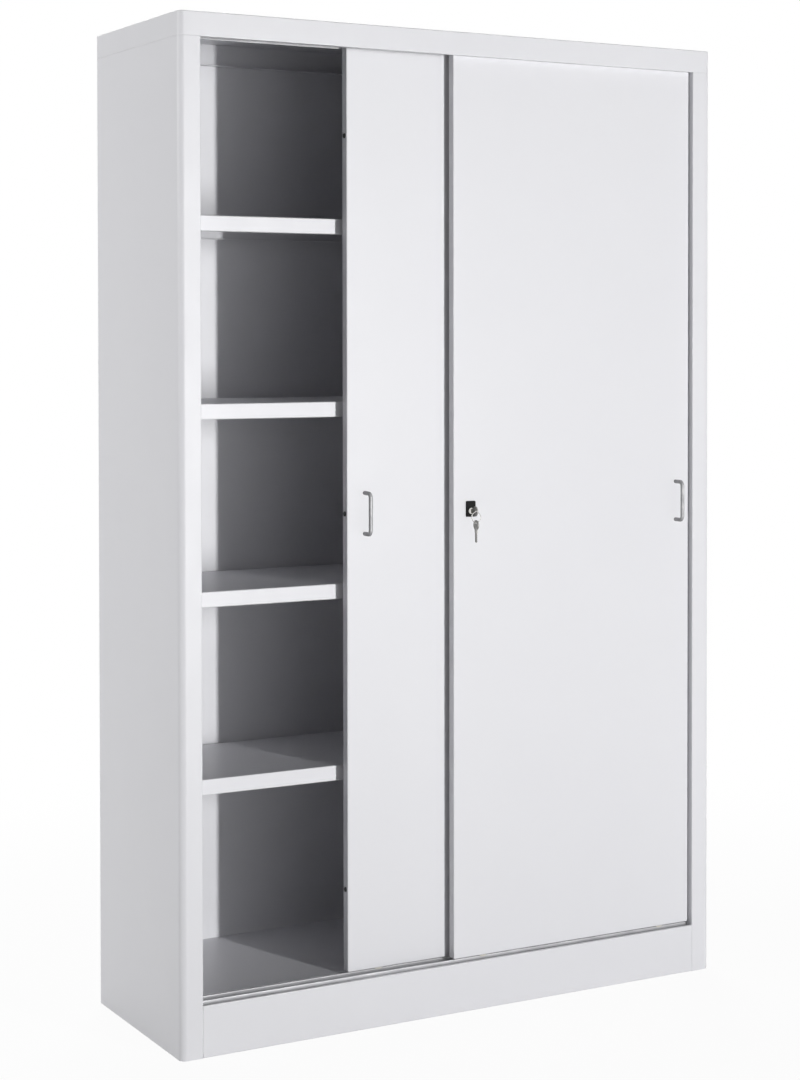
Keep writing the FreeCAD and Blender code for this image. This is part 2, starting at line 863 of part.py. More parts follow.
def build_door_running_gear(hand):
    """Stiffener, roller carriages, axles, grooved wheels and top guides of one door."""
    name = side_name(hand)
    edge, face = door_edge(hand), door_face(hand)
    middle = face + d.door_thickness / 2
    span = door_width - 2 * d.wheel_inset

    stiffener = new_body(f"{name}_door_stiffener",
                         edge + door_width / 2 - d.stiffener_flange - d.stiffener_web / 2,
                         face + d.gauge, door_bottom + d.door_edge_radius)
    flange, web = d.stiffener_flange, d.stiffener_web
    depth = d.door_thickness - 3 * d.gauge
    path = [(0, 0), (flange, 0), (flange, depth), (flange + web, depth), (flange + web, 0),
            (2 * flange + web, 0)]
    profile = fold(path, d.gauge, d.bend_radius, 1)
    pad(stiffener, sketch_outline(stiffener, PLAN, profile), door_height - 2 * d.door_edge_radius)

    carriages = new_body(f"{name}_door_carriages", edge + d.wheel_inset, middle,
                         door_bottom + d.gauge)
    roof = axle_height + d.wheel_radius + d.wheel_flange + d.carriage_headroom + d.carriage_gauge
    path = [(-carriage_half, 0), (-carriage_half, roof), (carriage_half, roof), (carriage_half, 0)]
    profile = fold(path, d.carriage_gauge, d.bend_radius, -1)
    cheeks = pad(carriages, sketch_outline(carriages, SIDE, profile), d.carriage_length, both=True)
    bore = sketch_circles(carriages, FRONT, (0, axle_height, d.axle_radius + d.fit_gap))
    holes = cut(carriages, bore, 3 * carriage_half, both=True)
    repeat(carriages, [cheeks, holes], "X_Axis", span, 2)

    axles = new_body(f"{name}_door_axles", edge + d.wheel_inset, middle,
                     door_bottom + d.gauge + axle_height)
    tip = carriage_half + d.axle_head
    corners = [
        (-tip, 0), (tip, 0), (tip, d.axle_head_radius), (carriage_half, d.axle_head_radius),
        (carriage_half, d.axle_radius), (-carriage_half, d.axle_radius),
        (-carriage_half, d.axle_head_radius), (-tip, d.axle_head_radius),
    ]
    pin = spin(axles, corners, SIDE, "Y_Axis")
    repeat(axles, [pin], "X_Axis", span, 2)

    half = d.wheel_width / 2
    rim = d.wheel_radius + d.wheel_flange
    hub = d.axle_radius + d.fit_gap
    groove = [
        (-half, hub), (half, hub), (half, rim), (d.groove_mouth / 2, rim),
        (d.groove_floor / 2, d.wheel_radius), (-d.groove_floor / 2, d.wheel_radius),
        (-d.groove_mouth / 2, rim), (-half, rim),
    ]
    for end, offset in (("left", d.wheel_inset), ("right", door_width - d.wheel_inset)):
        wheel = new_body(f"{name}_door_{end}_wheel", edge + offset, middle,
                         door_bottom + d.gauge + axle_height)
        spin(wheel, groove, SIDE, "Y_Axis")

    guides = new_body(f"{name}_door_guides", edge + d.wheel_inset, middle, door_top)
    half_width = (d.rail_pitch - d.fin_thickness) / 2 - d.guide_gap
    block = rectangle(-d.guide_length / 2, d.guide_length / 2, -half_width, half_width, d.guide_round)
    neck = rectangle(-d.guide_neck_length / 2, d.guide_neck_length / 2,
                     -d.guide_neck_width / 2, d.guide_neck_width / 2)
    shoe = pad(guides, sketch_outline(guides, PLAN, block), d.guide_height)
    root = pad(guides, sketch_outline(guides, PLAN, neck), d.guide_neck_depth, reverse=True)
    repeat(guides, [shoe, root], "X_Axis", span, 2)


def build_door_fittings(hand, handle_x):
    """Bow handle with its screws, and the rubber bumpers on the closing edge."""
    name = side_name(hand)
    edge, face = door_edge(hand), door_face(hand)
    bar = d.handle_bar / 2
    reach = d.handle_reach - bar
    spread = d.handle_centres / 2
    handle = new_body(f"{name}_door_handle", edge + handle_x, face, d.handle_height)
    line = [(0, -spread), (-reach, -spread, d.handle_bend), (-reach, spread, d.handle_bend), (0, spread)]
    spine = sketch_outline(handle, SIDE, line, closed=False)
    bow = handle.newObject("PartDesign::AdditivePipe", "AdditivePipe")
    bow.Profile = sketch_circles(handle, FRONT, (0, -spread, bar))
    bow.Spine = spine
    doc.recompute()
    holes = [(0, side * spread, d.screw_radius + d.fit_gap) for side in (-1, 1)]
    cut(handle, sketch_circles(handle, FRONT, *holes), d.screw_depth + d.screw_head, reverse=True)

    screws = new_body(f"{name}_handle_screws", edge + handle_x, face, d.handle_height - spread)
    corners = [
        (-d.screw_depth, 0), (d.gauge + d.screw_head, 0), (d.gauge + d.screw_head, d.screw_head_radius),
        (d.gauge, d.screw_head_radius), (d.gauge, d.screw_radius), (-d.screw_depth, d.screw_radius),
    ]
    screw = spin(screws, corners, SIDE, "Y_Axis")
    repeat(screws, [screw], "Z_Axis", d.handle_centres, 2)

    outer = edge if hand == LEFT else edge + door_width
    bumpers = new_body(f"{name}_door_bumpers", outer, face + d.door_thickness / 2,
                       d.handle_height - d.bumper_pitch)
    tip = d.bumper_height
    corners = [
        (-hand * d.bumper_stem, 0), (hand * tip, 0), (hand * tip, d.bumper_radius - d.bumper_round),
        (hand * (tip - d.bumper_round), d.bumper_radius), (0, d.bumper_radius),
        (0, d.bumper_stem_radius), (-hand * d.bumper_stem, d.bumper_stem_radius),
    ]
    button = spin(bumpers, corners, PLAN, "X_Axis")
    repeat(bumpers, [button], "Z_Axis", d.bumper_pitch, BUMPERS_PER_DOOR)


def build_lock():
    """Cam lock on the right door and the keeper that its cam stops on the left door."""
    x = door_edge(RIGHT) + d.lock_inset
    face = door_face(RIGHT)
    housing = new_body("lock_housing", x, face, d.lock_height)
    half_width, half_height = d.plate_width / 2, d.plate_height / 2
    plate = rectangle(-half_width, half_width, d.plate_rise - half_height,
                      d.plate_rise + half_height, d.plate_round)
    pad(housing, sketch_outline(housing, FRONT, plate), d.plate_thickness)
    round_edges(housing, lambda box: near(box.YMax, -d.plate_thickness), d.plate_round / 2)
    pad(housing, sketch_circles(housing, FRONT, (0, 0, d.barrel_radius)), d.door_thickness, reverse=True)
    bore = sketch_circles(housing, FRONT, (0, 0, d.plug_radius + d.fit_gap))
    cut(housing, bore, 3 * d.door_thickness, both=True)

    nut = new_body("lock_nut", x, face + d.gauge, d.lock_height)
    hexagon = [(d.nut_radius * math.cos(math.radians(60 * corner)),
                d.nut_radius * math.sin(math.radians(60 * corner))) for corner in range(6)]
    pad(nut, sketch_outline(nut, FRONT, hexagon), d.nut_height, reverse=True)
    thread = sketch_circles(nut, FRONT, (0, 0, d.barrel_radius + d.fit_gap))
    cut(nut, thread, 3 * d.nut_height, both=True)

    plug = new_body("lock_plug", x, face - plug_face, d.lock_height)
    length = plug_face + d.door_thickness + d.cam_gap
    pad(plug, sketch_circles(plug, FRONT, (0, 0, d.plug_radius)), length, reverse=True)
    boss = sketch_circles(plug, FRONT, (0, 0, d.boss_radius), shift=-length)
    pad(plug, boss, d.cam_thickness, reverse=True)
    half_key = d.key_thickness / 2 + d.fit_gap
    half_blade = d.blade_width / 2 + d.fit_gap
    keyway = rectangle(-half_key, half_key, -half_blade, half_blade)
    cut(plug, sketch_outline(plug, FRONT, keyway), d.blade_length + d.plug_proud)
    tapping = sketch_circles(plug, FRONT, (0, 0, d.screw_radius + d.fit_gap),
                             shift=-length - d.cam_thickness)
    cut(plug, tapping, d.cam_screw_depth + d.cam_screw_relief, reverse=True)

    cam_face = face + d.door_thickness + d.cam_gap
    cam = new_body("lock_cam", x, cam_face, d.lock_height)
    arm = rectangle(-d.cam_tail, d.cam_reach, -d.cam_width / 2, d.cam_width / 2, d.cam_round)
    pad(cam, sketch_outline(cam, FRONT, arm), d.cam_thickness, reverse=True)
    eye = sketch_circles(cam, FRONT, (0, 0, d.boss_radius + d.fit_gap))
    cut(cam, eye, 3 * d.cam_thickness, both=True)

    screw = new_body("cam_screw", x, cam_face + d.cam_thickness, d.lock_height)
    corners = [
        (-d.cam_screw_depth, 0), (d.cam_screw_head, 0), (d.cam_screw_head, d.cam_screw_radius),
        (0, d.cam_screw_radius), (0, d.screw_radius), (-d.cam_screw_depth, d.screw_radius),
    ]
    spin(screw, corners, SIDE, "Y_Axis")

    keeper = new_body("lock_keeper", door_edge(LEFT) + door_width, door_face(LEFT),
                      d.lock_height - d.keeper_drop - d.keeper_height)
    path = [(0, d.keeper_leg), (0, -d.keeper_reach), (d.keeper_hook, -d.keeper_reach)]
    profile = fold(path, d.keeper_gauge, d.bend_radius, 1)
    pad(keeper, sketch_outline(keeper, PLAN, profile), d.keeper_height)


def build_key(label, x, y, z):
    """Flat key along +Y from the plug's face: round bow with an eye, shoulder and bitted blade."""
    key = new_body(label, x, y, z)
    pad(key, sketch_circles(key, SIDE, (-bow_centre, 0, d.bow_radius)), d.key_thickness, both=True)
    shoulder = rectangle(-bow_centre, 0, -d.shoulder_width / 2, d.shoulder_width / 2)
    pad(key, sketch_outline(key, SIDE, shoulder), d.key_thickness, both=True)
    half = d.blade_width / 2
    bit = d.blade_length / (2 * BITS_PER_KEY + 2)
    blade = [(-d.bow_neck, half), (-d.bow_neck, -half)]
    for number in range(BITS_PER_KEY):
        start = bit * (2 * number + 1)
        blade += [(start, -half), (start + bit, d.bit_depth - half)]
    blade += [(d.blade_length - bit, -half), (d.blade_length, 0), (d.blade_length - bit, half)]
    pad(key, sketch_outline(key, SIDE, blade), d.key_thickness, both=True)
    cut(key, sketch_circles(key, SIDE, (-key_eye, 0, d.key_eye_radius)), 2 * d.key_thickness, both=True)
    return key


def build_keys():
    """Key in the lock, ring through its eye and spare key hanging from the ring."""
    x = door_edge(RIGHT) + d.lock_inset
    plug_front = door_face(RIGHT) - plug_face
    build_key("key", x, plug_front, d.lock_height)
    slack = d.key_eye_radius - d.ring_wire_radius - d.loose_gap
    ring_centre = d.lock_height - slack - d.ring_radius
    ring = doc.addObject("Part::Torus", "key_ring")
    ring.Label = "key_ring"
    bind(ring, "Radius1", d.ring_radius)
    bind(ring, "Radius2", d.ring_wire_radius)
    ring.Placement = Placement(Vector(0, 0, 0), Rotation(Vector(1, 0, 0), 90))
    place(ring, x, plug_front - key_eye, ring_centre)
    spare = build_key("spare_key", x, plug_front - key_eye, 0)
    spare.Placement = Placement(Vector(0, 0, 0), Rotation(Vector(1, 0, 0), -90))
    place(spare, x, plug_front - key_eye, ring_centre - d.ring_radius - slack - key_eye)


def write_parts():
    """Check every object, then write each sub-part to a file named by its label."""
    doc.recompute()
    for item in doc.Objects:
        if "Invalid" in item.State or "Error" in item.State:
            raise RuntimeError(f"{item.Label} failed: {item.State}")
    kinds = ("PartDesign::Body", "Part::Mirroring", "Part::Torus")
    pieces = [item for item in doc.Objects if item.TypeId in kinds]
    for piece in pieces:
        if piece.Shape.isNull() or not piece.Shape.isValid() or not piece.Shape.Solids:
            raise RuntimeError(f"{piece.Label} has no valid solid")
    os.makedirs("parts", exist_ok=True)
    for piece in pieces:
        piece.Shape.exportStep(f"parts/{piece.Label}.step")
    print(len(pieces), "parts written")


build_side_panels()
build_top_cap()
build_plinth()
build_deck()
build_back()
build_rivets()
build_tracks()
build_uprights()
build_shelves()
for door in (LEFT, RIGHT):
    build_door_fittings(door, build_door_panel(door))
    build_door_running_gear(door)
build_lock()
build_keys()
write_parts()
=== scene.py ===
"""Looks of the metal storage cabinet with two bypass sliding doors.

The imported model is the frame: its nodes keep their shapes and get their finishes here, and a few
small pieces are made finer: the split key ring, the rivet heads and the lock's bezel. Lengths are
in metres in the model's own frame: +X to the right, +Y to the back, +Z up.
"""
import json
import logging
import math
from dataclasses import dataclass, field
from enum import Enum
from typing import Any

import bmesh
import bpy
import numpy as np
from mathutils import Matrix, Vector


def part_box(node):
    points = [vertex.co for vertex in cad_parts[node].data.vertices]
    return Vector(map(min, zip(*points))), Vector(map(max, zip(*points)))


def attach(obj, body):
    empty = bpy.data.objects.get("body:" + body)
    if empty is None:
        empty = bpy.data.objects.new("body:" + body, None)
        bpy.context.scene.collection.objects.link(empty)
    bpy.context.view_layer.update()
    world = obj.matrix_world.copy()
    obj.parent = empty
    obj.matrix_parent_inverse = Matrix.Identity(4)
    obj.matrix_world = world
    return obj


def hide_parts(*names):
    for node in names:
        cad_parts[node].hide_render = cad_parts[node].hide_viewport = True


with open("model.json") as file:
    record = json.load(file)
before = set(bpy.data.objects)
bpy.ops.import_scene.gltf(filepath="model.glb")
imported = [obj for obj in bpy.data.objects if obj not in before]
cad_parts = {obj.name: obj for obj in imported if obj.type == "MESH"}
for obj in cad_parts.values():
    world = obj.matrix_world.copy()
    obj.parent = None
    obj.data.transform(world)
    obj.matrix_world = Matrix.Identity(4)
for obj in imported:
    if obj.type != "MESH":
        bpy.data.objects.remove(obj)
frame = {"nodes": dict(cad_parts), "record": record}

MM = 0.001
WELD = 0.001 * MM
IMAGE_WIDTH = 800
IMAGE_HEIGHT = 1080

Colour = tuple[float, float, float, float]
Point = tuple[float, float, float]

WHITE: Colour = (1.0, 1.0, 1.0, 1.0)
# Free edge of the left door, X and Y: the front lamps are aimed past it into the compartments.
DOOR_EDGE = (-0.237, -0.176)
# Sockets of a Mix node that mixes colours.
MIX_FIRST, MIX_SECOND, MIX_RESULT = 6, 7, 2
# Most values of a noise lie between these two numbers.
NOISE_LOW, NOISE_HIGH = 0.3, 0.7
# Most products of two noises lie between these.
PRODUCT_LOW, PRODUCT_HIGH = 0.1, 0.45

log = logging.getLogger("cabinet")


class Slot(Enum):
    """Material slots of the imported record."""

    POWDER_COAT = "grey_powder_coat"
    ZINC = "zinc_plated_steel"
    TRACK = "track_aluminium"
    HANDLE = "satin_nickel"
    LOCK = "lock_nickel"
    LOCK_PLATE = "black_zinc_casting"
    NYLON = "white_nylon"
    RUBBER = "black_rubber"


def linear(code: str) -> Colour:
    """Turn an sRGB hex colour into linear light.

    Args:
        code: Six hex digits, as in "D9DADB".

    Returns:
        Linear red, green and blue, with an alpha of one.
    """
    parts = (int(code[i:i + 2], 16) / 255 for i in (0, 2, 4))
    red, green, blue = (c / 12.92 if c <= 0.04045 else ((c + 0.055) / 1.055) ** 2.4 for c in parts)
    return red, green, blue, 1.0


def per_metre(size_mm: float) -> float:
    """Pattern scale, in cycles per metre, of a feature with a real size in millimetres."""
    return 1 / (size_mm * MM)


def add_node(tree: bpy.types.NodeTree, kind: str, sockets: dict[Any, Any] | None = None,
             **settings: Any) -> bpy.types.Node:
    """Add a shader node.

    Args:
        tree: Node tree that takes the node.
        kind: Type of node without its ShaderNode prefix.
        sockets: Input values and links by socket name or number.
        settings: Properties of the node itself.

    Returns:
        The new node.
    """
    node = tree.nodes.new(f"ShaderNode{kind}")
    for name, value in settings.items():
        setattr(node, name, value)
    for name, value in (sockets or {}).items():
        if isinstance(value, bpy.types.NodeSocket):
            tree.links.new(value, node.inputs[name])
        else:
            node.inputs[name].default_value = value
    return node


def new_tree(name: str) -> tuple[bpy.types.Material, bpy.types.NodeTree]:
    """Start an empty node material.

    Args:
        name: Name of the material.

    Returns:
        The material and its node tree.
    """
    material = bpy.data.materials.new(name)
    material.use_nodes = True
    material.node_tree.nodes.clear()
    return material, material.node_tree


def close_tree(tree: bpy.types.NodeTree, shader: bpy.types.NodeSocket) -> None:
    """Lead a shader to the material's output.

    Args:
        tree: Node tree of the material.
        shader: Output socket of the last shader.
    """
    add_node(tree, "OutputMaterial", {"Surface": shader})


@dataclass(frozen=True)
class PowderCoat:
    """Polyester powder coat on sheet steel: an even satin grey with a faint orange peel.

    The eye sees soft broad highlights along the folds and a slightly pebbled gleam. The real peel
    is under a millimetre wide; it is drawn at a few millimetres so that it shows in a render.
    """

    name: str = "powder_coated_steel"
    light: str = "DFDFE2"
    dark: str = "DADADE"
    roughness: tuple[float, float] = (0.40, 0.44)
    cloud_mm: float = 420.0
    sheen_mm: float = 60.0
    peel_mm: float = 2.6
    peel_depth_mm: float = 0.05
    peel_strength: float = 0.35
    ior: float = 1.5

    def material(self) -> bpy.types.Material:
        """Make the material: clouds in colour, sheen in roughness, peel in bump.

        Returns:
            The powder coat.
        """
        material, tree = new_tree(self.name)
        place = add_node(tree, "TexCoord").outputs["Object"]
        cloud = add_node(tree, "TexNoise", {"Vector": place, "Scale": per_metre(self.cloud_mm),
                                            "Detail": 3.0})
        paint = add_node(tree, "Mix", {"Factor": cloud.outputs["Fac"], MIX_FIRST: linear(self.light),
                                       MIX_SECOND: linear(self.dark)}, data_type="RGBA")
        sheen = add_node(tree, "TexNoise", {"Vector": place, "Scale": per_metre(self.sheen_mm),
                                            "Detail": 4.0})
        rough = add_node(tree, "MapRange", {"Value": sheen.outputs["Fac"],
                                            "From Min": NOISE_LOW, "From Max": NOISE_HIGH,
                                            "To Min": self.roughness[0], "To Max": self.roughness[1]})
        peel = add_node(tree, "TexNoise", {"Vector": place, "Scale": per_metre(self.peel_mm),
                                           "Detail": 1.0, "Roughness": 0.4})
        bump = add_node(tree, "Bump", {"Height": peel.outputs["Fac"], "Strength": self.peel_strength,
                                       "Distance": self.peel_depth_mm * MM})
        shader = add_node(tree, "BsdfPrincipled", {"Base Color": paint.outputs[MIX_RESULT],
                                                   "Roughness": rough.outputs["Result"],
                                                   "IOR": self.ior, "Normal": bump.outputs["Normal"]})
        close_tree(tree, shader.outputs["BSDF"])
        return material


@dataclass(frozen=True)
class Metal:
    """Bare or plated metal with grain lines along one axis and a mottled gloss.

    The eye sees bright reflections drawn out by the grain, with duller patches between them.
    """

    name: str
    light: str
    dark: str
    roughness: tuple[float, float]
    grain_mm: Point
    mottle_mm: float
    scratch_depth_mm: float = 0.01
    scratch_strength: float = 0.4

    def material(self) -> bpy.types.Material:
        """Make the material: stretched noise drives the grain's colour, gloss and bump.

        Returns:
            The metal.
        """
        material, tree = new_tree(self.name)
        place = add_node(tree, "TexCoord").outputs["Object"]
        scale = tuple(per_metre(size) for size in self.grain_mm)
        stretched = add_node(tree, "Mapping", {"Vector": place, "Scale": scale})
        grain = add_node(tree, "TexNoise", {"Vector": stretched.outputs["Vector"], "Scale": 1.0,
                                            "Detail": 3.0})
        mottle = add_node(tree, "TexNoise", {"Vector": place, "Scale": per_metre(self.mottle_mm),
                                             "Detail": 2.0})
        both = add_node(tree, "Math", {0: grain.outputs["Fac"], 1: mottle.outputs["Fac"]},
                        operation="MULTIPLY")
        spread = add_node(tree, "MapRange", {"Value": both.outputs["Value"],
                                             "From Min": PRODUCT_LOW, "From Max": PRODUCT_HIGH})
        colour = add_node(tree, "Mix", {"Factor": spread.outputs["Result"], MIX_FIRST: linear(self.light),
                                        MIX_SECOND: linear(self.dark)}, data_type="RGBA")
        rough = add_node(tree, "MapRange", {"Value": spread.outputs["Result"],
                                            "To Min": self.roughness[0], "To Max": self.roughness[1]})
        bump = add_node(tree, "Bump", {"Height": grain.outputs["Fac"], "Strength": self.scratch_strength,
                                       "Distance": self.scratch_depth_mm * MM})
        shader = add_node(tree, "BsdfPrincipled", {"Base Color": colour.outputs[MIX_RESULT],
                                                   "Metallic": 1.0,
                                                   "Roughness": rough.outputs["Result"],
                                                   "Normal": bump.outputs["Normal"]})
        close_tree(tree, shader.outputs["BSDF"])
        return material


@dataclass(frozen=True)
class Moulding:
    """Moulded or cast material with a fine surface texture and faint clouds of colour.

    The eye sees a dull, slightly grainy surface with soft highlights.
    """

    name: str
    light: str
    dark: str
    roughness: tuple[float, float]
    cloud_mm: float
    grain_mm: float
    grain_depth_mm: float
    grain_strength: float = 0.5
    ior: float = 1.5

    def material(self) -> bpy.types.Material:
        """Make the material: clouds in colour, grain in gloss and bump.

        Returns:
            The moulded or cast material.
        """
        material, tree = new_tree(self.name)
        place = add_node(tree, "TexCoord").outputs["Object"]
        cloud = add_node(tree, "TexNoise", {"Vector": place, "Scale": per_metre(self.cloud_mm),
                                            "Detail": 3.0})
        colour = add_node(tree, "Mix", {"Factor": cloud.outputs["Fac"], MIX_FIRST: linear(self.light),
                                        MIX_SECOND: linear(self.dark)}, data_type="RGBA")
        grain = add_node(tree, "TexNoise", {"Vector": place, "Scale": per_metre(self.grain_mm),
                                            "Detail": 2.0})
        rough = add_node(tree, "MapRange", {"Value": grain.outputs["Fac"],
                                            "From Min": NOISE_LOW, "From Max": NOISE_HIGH,
                                            "To Min": self.roughness[0], "To Max": self.roughness[1]})
        bump = add_node(tree, "Bump", {"Height": grain.outputs["Fac"], "Strength": self.grain_strength,
                                       "Distance": self.grain_depth_mm * MM})
        shader = add_node(tree, "BsdfPrincipled", {"Base Color": colour.outputs[MIX_RESULT],
                                                   "Roughness": rough.outputs["Result"],
                                                   "IOR": self.ior, "Normal": bump.outputs["Normal"]})
        close_tree(tree, shader.outputs["BSDF"])
        return material


Finish = PowderCoat | Metal | Moulding

FINISHES: dict[Slot, Finish] = {
    Slot.POWDER_COAT: PowderCoat(),
    # Bright zinc plate on pressed steel: cool, cloudy mirror with fine drawing marks.
    Slot.ZINC: Metal("zinc_plated_steel", "C3C7CA", "A7ACB1", roughness=(0.30, 0.45),
                     grain_mm=(9.0, 9.0, 1.5), mottle_mm=12.0),
    # Anodised aluminium extrusion: die lines run along the track.
    Slot.TRACK: Metal("anodised_aluminium", "B7B7B9", "9F9FA2", roughness=(0.50, 0.62),
                      grain_mm=(180.0, 1.2, 1.2), mottle_mm=40.0),
    # Satin nickel plate: even mid grey with fine polishing marks.
    Slot.HANDLE: Metal("satin_nickel", "A0A0A1", "8B8B8D", roughness=(0.54, 0.66),
                       grain_mm=(1.0, 1.0, 6.0), mottle_mm=14.0),
    # Nickel plate on brass, tumbled: grey glints with small scuffs.
    Slot.LOCK: Metal("polished_nickel", "9C9B98", "7C7B78", roughness=(0.26, 0.42),
                     grain_mm=(1.5, 1.5, 1.5), mottle_mm=7.0),
    # Stove enamel on a zinc die casting: deep black with a soft gleam.
    Slot.LOCK_PLATE: Moulding("black_stove_enamel", "101011", "0A0A0B", roughness=(0.50, 0.64),
                              cloud_mm=15.0, grain_mm=1.2, grain_depth_mm=0.02, ior=1.22),
    # Moulded nylon: a dull milky white, a little waxy.
    Slot.NYLON: Moulding("moulded_nylon", "C6C3BA", "B6B3AA", roughness=(0.42, 0.55),
                         cloud_mm=20.0, grain_mm=1.5, grain_depth_mm=0.03, ior=1.53),
    # Moulded rubber: dull black with a dusty bloom.
    Slot.RUBBER: Moulding("moulded_rubber", "232324", "161617", roughness=(0.70, 0.85),
                          cloud_mm=8.0, grain_mm=0.8, grain_depth_mm=0.04, ior=1.52),
}


def mesh_piece(name: str, rows: np.ndarray, closed_path: bool) -> bpy.types.Object:
    """Put a stack of closed rings into a mesh object.

    Each ring joins the next one with quads. The first and last ring shrink to a pole, where their
    points are welded to one, or they join each other where the path is closed.

    Args:
        name: Name of the object.
        rows: Array of copies, rings, points and coordinates.
        closed_path: Whether the last ring joins the first one.

    Returns:
        The new object, in the scene.
    """
    copies, rings, count, _ = rows.shape
    steps = rings if closed_path else rings - 1
    ring, point = np.meshgrid(np.arange(steps), np.arange(count), indexing="ij")
    ahead, beside = (ring + 1) % rings, (point + 1) % count
    quads = np.stack([ring * count + point, ring * count + beside,
                      ahead * count + beside, ahead * count + point], axis=-1).reshape(-1, 4)
    offsets = (np.arange(copies) * rings * count)[:, None, None]
    faces = (quads[None] + offsets).reshape(-1, 4)
    points = rows.reshape(-1, 3)
    data = bpy.data.meshes.new(name)
    data.from_pydata(points.tolist(), [], faces.tolist())
    shell = bmesh.new()
    shell.from_mesh(data)
    bmesh.ops.remove_doubles(shell, verts=shell.verts, dist=WELD)
    shell.to_mesh(data)
    shell.free()
    data.polygons.foreach_set("use_smooth", np.ones(len(data.polygons), dtype=bool))
    data.update()
    piece = bpy.data.objects.new(name, data)
    bpy.context.scene.collection.objects.link(piece)
    return piece


def turned(name: str, profile: np.ndarray, centres: np.ndarray, sides: int,
           closed_path: bool = False) -> bpy.types.Object:
    """Turn a profile about lines along +Y.

    A point at height h and radius r of the profile goes round the angle a to the centre plus
    (r cos a, h, r sin a).

    Args:
        name: Name of the object.
        profile: Heights and radii, one row for each point; the outer wall runs towards -Y.
        centres: Centres of the copies, one row each.
        sides: Number of points round each ring.
        closed_path: Whether the profile's last point joins its first one.

    Returns:
        The new object.
    """
    angle = np.linspace(0, 2 * np.pi, sides, endpoint=False)
    height, radius = profile[:, 0, None], profile[:, 1, None]
    ring = np.stack([radius * np.cos(angle), height + 0 * angle, radius * np.sin(angle)], axis=-1)
    return mesh_piece(name, ring[None] + centres[:, None, None, :], closed_path)


def dress(piece: bpy.types.Object, finish: bpy.types.Material) -> None:
    """Give a piece one material.

    Args:
        piece: Object to dress.
        finish: Material for the whole piece.
    """
    piece.data.materials.clear()
    piece.data.materials.append(finish)


@dataclass
class Wardrobe:
    """Finishes of the cabinet, made once and shared by its pieces."""

    made: dict[Slot, bpy.types.Material] = field(default_factory=dict)

    def build(self) -> None:
        """Make the material of every slot."""
        self.made = {slot: finish.material() for slot, finish in FINISHES.items()}

    def dress_nodes(self) -> None:
        """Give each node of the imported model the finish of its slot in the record."""
        for row in frame["record"]["subparts"]:
            dress(frame["nodes"][row["node"]], self.made[Slot(row["material_slot"])])

    def finish_piece(self, piece: bpy.types.Object, body: str, slot: Slot) -> None:
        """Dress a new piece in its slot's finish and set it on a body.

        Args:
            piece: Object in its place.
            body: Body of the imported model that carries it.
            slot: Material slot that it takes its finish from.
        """
        dress(piece, self.made[slot])
        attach(piece, body)
        log.info("%s rides on %s", piece.name, body)


@dataclass
class KeyRing:
    """Split ring of flat wire wound in two turns, through the eyes of both keys."""

    wire_width: float = 1.3 * MM
    wire_height: float = 0.73 * MM
    coil_gap: float = 0.02 * MM
    turns: float = 2.0
    step_start: float = 0.44
    step_span: float = 0.12
    tip_slope: float = 60.0
    steps: int = 145
    sides: int = 12
    squareness: float = 0.5

    def build(self) -> bpy.types.Object:
        """Wind the wire.

        The path goes round the ring's axis +Y by two turns, and steps over by one wire height and
        a hair's gap in the middle of them. Its section is a superellipse: sign(cos s) |cos s|^p
        across and sign(sin s) |sin s|^p along the axis, and it shrinks to a point at both ends.

        Returns:
            The ring, in the place of its node.
        """
        low, high = (np.array(corner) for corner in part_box("key_ring"))
        centre = (low + high) / 2
        radius = (high - low)[0] / 2 - self.wire_width / 2
        share = np.linspace(0, 1, self.steps)[:, None]
        angle = 2 * np.pi * self.turns * share
        step = np.clip((share - self.step_start) / self.step_span, 0, 1)
        lift = (step * step * (3 - 2 * step) - 0.5) * (self.wire_height + self.coil_gap)
        taper = np.clip(np.minimum(share, 1 - share) * self.tip_slope, 0, 1) ** 0.5
        around = np.linspace(0, 2 * np.pi, self.sides, endpoint=False)[None]
        power = self.squareness
        across = np.sign(np.cos(around)) * np.abs(np.cos(around)) ** power * self.wire_width / 2 * taper
        along = np.sign(np.sin(around)) * np.abs(np.sin(around)) ** power * self.wire_height / 2 * taper
        reach = radius + across
        rows = np.stack([reach * np.cos(angle), lift + along, reach * np.sin(angle)], axis=-1)
        return mesh_piece("split_key_ring", (rows + centre)[None], closed_path=False)

    def dress(self, wardrobe: Wardrobe) -> None:
        """Build the ring in place of its plain node.

        Args:
            wardrobe: Finishes of the cabinet.
        """
        ring = self.build()
        ring.visible_shadow = False
        wardrobe.finish_piece(ring, "key_ring_body", Slot.LOCK)
        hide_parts("key_ring")


@dataclass(frozen=True)
class ThinFittings:
    """Bow handles and keys: so thin that broad light washes their shadows off the doors."""

    nodes: tuple[str, ...] = ("left_door_handle", "right_door_handle", "key", "spare_key")

    def dress(self) -> None:
        """Leave out the hard shadows that the narrow key lamp would throw."""
        for name in self.nodes:
            frame["nodes"][name].visible_shadow = False


